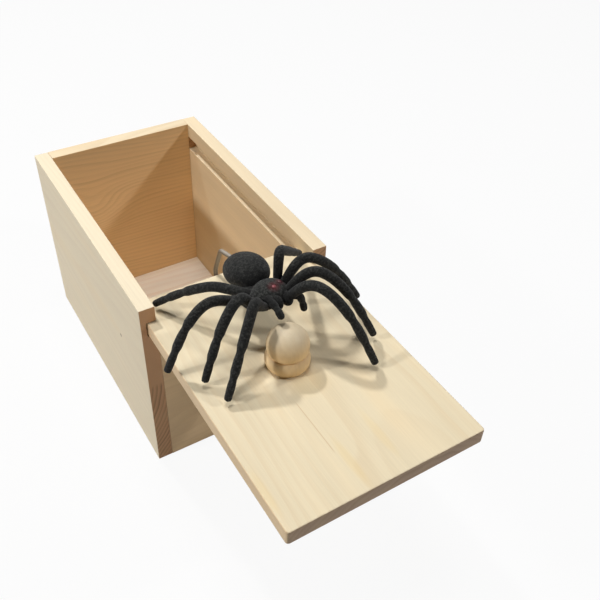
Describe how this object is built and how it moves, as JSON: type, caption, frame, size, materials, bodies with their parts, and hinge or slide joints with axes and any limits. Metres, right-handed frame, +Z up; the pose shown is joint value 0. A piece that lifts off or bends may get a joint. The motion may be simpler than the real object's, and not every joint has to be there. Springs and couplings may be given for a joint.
{
  "type": "jack in the box",
  "caption": "Small wooden surprise box: drawing out its knobbed sliding lid swings a black rubber spider on a sprung wire arm up and over onto the lid.",
  "frame": {"origin": "centre of the box's underside, on the surface that it stands on", "axes": "+Z up, +Y to the rear, so that the lid is drawn out towards -Y; +X to the right seen from the lid's end"},
  "size_m": [0.0816, 0.2176, 0.1107],
  "materials": {
    "pine_box": "unfinished pale pine",
    "pine_lid": "unfinished pale pine",
    "turned_wood": "turned pale wood",
    "screw_steel": "plain steel",
    "clip_steel": "rolled sheet",
    "wire_steel": "drawn wire",
    "flocked_black": "matt flocked black",
    "eye_red": "dark red glow"
  },
  "bodies": {
    "box": {"left_side_board": "pine_box", "right_side_board": "pine_box", "rear_board": "pine_box", "front_board": "pine_box", "bottom_board": "pine_box"},
    "lid": {"lid_panel": "pine_lid", "knob": "turned_wood", "knob_screw": "screw_steel", "pivot_clip": "clip_steel", "clip_screws": "screw_steel", "throw_spring": "wire_steel"},
    "spider": {"spider_arm": "wire_steel", "spider_abdomen": "flocked_black", "spider_head": "flocked_black", "spider_jaws": "flocked_black", "spider_eyes": "eye_red", "spider_leg_left_front": "flocked_black", "spider_leg_left_second": "flocked_black", "spider_leg_left_third": "flocked_black", "spider_leg_left_hind": "flocked_black", "spider_leg_right_front": "flocked_black", "spider_leg_right_second": "flocked_black", "spider_leg_right_third": "flocked_black", "spider_leg_right_hind": "flocked_black", "spider_palp_left": "flocked_black", "spider_palp_right": "flocked_black"}
  },
  "joints": [
    {"name": "lid_slide", "type": "slide", "parent": "box", "child": "lid", "axis": [0, 1, 0], "range_m": [0, 0.0976]},
    {"name": "spider_flip", "type": "hinge", "parent": "lid", "child": "spider", "pos_m": [0, -0.04605, 0.07007], "axis": [1, 0, 0], "range_deg": [-268.2, 0], "deforming": ["throw_spring", "spider_head", "spider_jaws", "spider_eyes", "spider_leg_left_front", "spider_leg_left_second", "spider_leg_left_third", "spider_leg_left_hind", "spider_leg_right_front", "spider_leg_right_second", "spider_leg_right_third", "spider_leg_right_hind", "spider_palp_left", "spider_palp_right"]}
  ],
  "couplings": [
    {"joint": "spider_flip", "follows": "lid_slide", "rad_per_m": -47.92}
  ]
}
